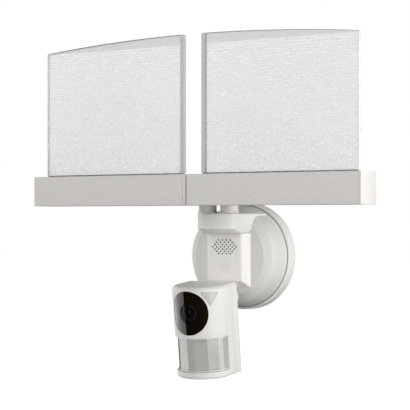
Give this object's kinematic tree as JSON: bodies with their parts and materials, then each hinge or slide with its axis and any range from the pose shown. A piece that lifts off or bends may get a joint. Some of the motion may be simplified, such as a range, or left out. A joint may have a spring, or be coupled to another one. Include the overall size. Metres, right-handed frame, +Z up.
{
  "type": "floodlight security camera",
  "caption": "Wall-mounted security camera head on a pan-and-tilt neck, below two edge-lit floodlight panels whose bars swivel and tilt on posts above a round base.",
  "frame": {"origin": "centre of the wall bracket's back face, on the wall", "axes": "+Z up, the wall is the plane Y = 0 and the camera and lights face -Y, +X to the right of someone facing the camera"},
  "size_m": [0.3678, 0.1186, 0.3312],
  "materials": {
    "casing": "fine matte texture",
    "bar_casing": "fine matte texture",
    "light_panel": "translucent acrylic with a fine dot pattern",
    "panel_trim": "satin",
    "seal": "matte",
    "steel": "zinc plated",
    "aluminium": "extruded, bare",
    "board": "green solder mask",
    "led_board": "white solder mask",
    "black_plastic": "matte",
    "lens_cover": "polished, nearly black",
    "lens_glass": "coated glass",
    "window_film": "translucent, semi-gloss",
    "pir_film": "faceted translucent polythene",
    "terminal": "matte"
  },
  "bodies": {
    "wall_base": {"wall_bracket": "steel", "wall_gasket": "seal", "base_plate": "casing", "base_cover": "casing", "base_screw_left": "steel", "base_screw_right": "steel", "column_housing": "casing", "speaker": "black_plastic", "main_board": "board", "column_screw_left": "steel", "column_screw_right": "steel", "column_cap": "casing", "swivel_clamp_plate": "steel", "power_board": "board", "terminal_block": "terminal"},
    "button": {"push_button": "casing"},
    "post_left": {"swivel_post_left": "casing", "swivel_nut_left": "steel", "tilt_pin_left": "steel"},
    "light_left": {"bar_housing_left": "bar_casing", "bar_back_left": "bar_casing", "inner_end_cap_left": "bar_casing", "outer_end_cap_left": "bar_casing", "bar_screw_inner_left": "steel", "bar_screw_outer_left": "steel", "led_strip_left": "led_board", "heat_sink_left": "aluminium", "slot_gasket_left": "seal", "light_panel_left": "light_panel", "panel_frame_left": "panel_trim"},
    "post_right": {"swivel_post_right": "casing", "swivel_nut_right": "steel", "tilt_pin_right": "steel"},
    "light_right": {"bar_housing_right": "bar_casing", "bar_back_right": "bar_casing", "inner_end_cap_right": "bar_casing", "outer_end_cap_right": "bar_casing", "bar_screw_inner_right": "steel", "bar_screw_outer_right": "steel", "led_strip_right": "led_board", "heat_sink_right": "aluminium", "slot_gasket_right": "seal", "light_panel_right": "light_panel", "panel_frame_right": "panel_trim"},
    "neck": {"camera_neck": "casing", "neck_nut": "steel"},
    "camera": {"head_front_shell": "casing", "head_rear_cover": "casing", "lens_window": "lens_cover", "light_window_left": "window_film", "light_window_right": "window_film", "pir_lens": "pir_film", "lens_barrel": "black_plastic", "lens_glass": "lens_glass", "sensor_board": "board", "pir_sensor": "steel", "head_screw": "steel", "head_tilt_pin": "steel", "microphone_plug": "casing"}
  },
  "joints": [
    {"name": "left_swivel", "type": "hinge", "parent": "wall_base", "child": "post_left", "pos_m": [-0.0125, -0.059, 0.043], "axis": [0, 0, 1], "range_deg": [-25, 0]},
    {"name": "left_tilt", "type": "hinge", "parent": "post_left", "child": "light_left", "pos_m": [-0.0125, -0.0775, 0.065], "axis": [1, 0, 0], "range_deg": [-10, 30]},
    {"name": "right_swivel", "type": "hinge", "parent": "wall_base", "child": "post_right", "pos_m": [0.0125, -0.059, 0.043], "axis": [0, 0, 1], "range_deg": [0, 25]},
    {"name": "right_tilt", "type": "hinge", "parent": "post_right", "child": "light_right", "pos_m": [0.0125, -0.0775, 0.065], "axis": [1, 0, 0], "range_deg": [-10, 30]},
    {"name": "camera_pan", "type": "hinge", "parent": "wall_base", "child": "neck", "pos_m": [0, -0.056, -0.0395], "axis": [0, 0, 1], "range_deg": [-30, 30]},
    {"name": "camera_tilt", "type": "hinge", "parent": "neck", "child": "camera", "pos_m": [0, -0.056, -0.0395], "axis": [1, 0, 0], "range_deg": [-15, 35]},
    {"name": "button_press", "type": "slide", "parent": "wall_base", "child": "button", "axis": [0, 1, 0], "range_m": [0, 0.0007], "stiffness_N_per_m": 800}
  ]
}
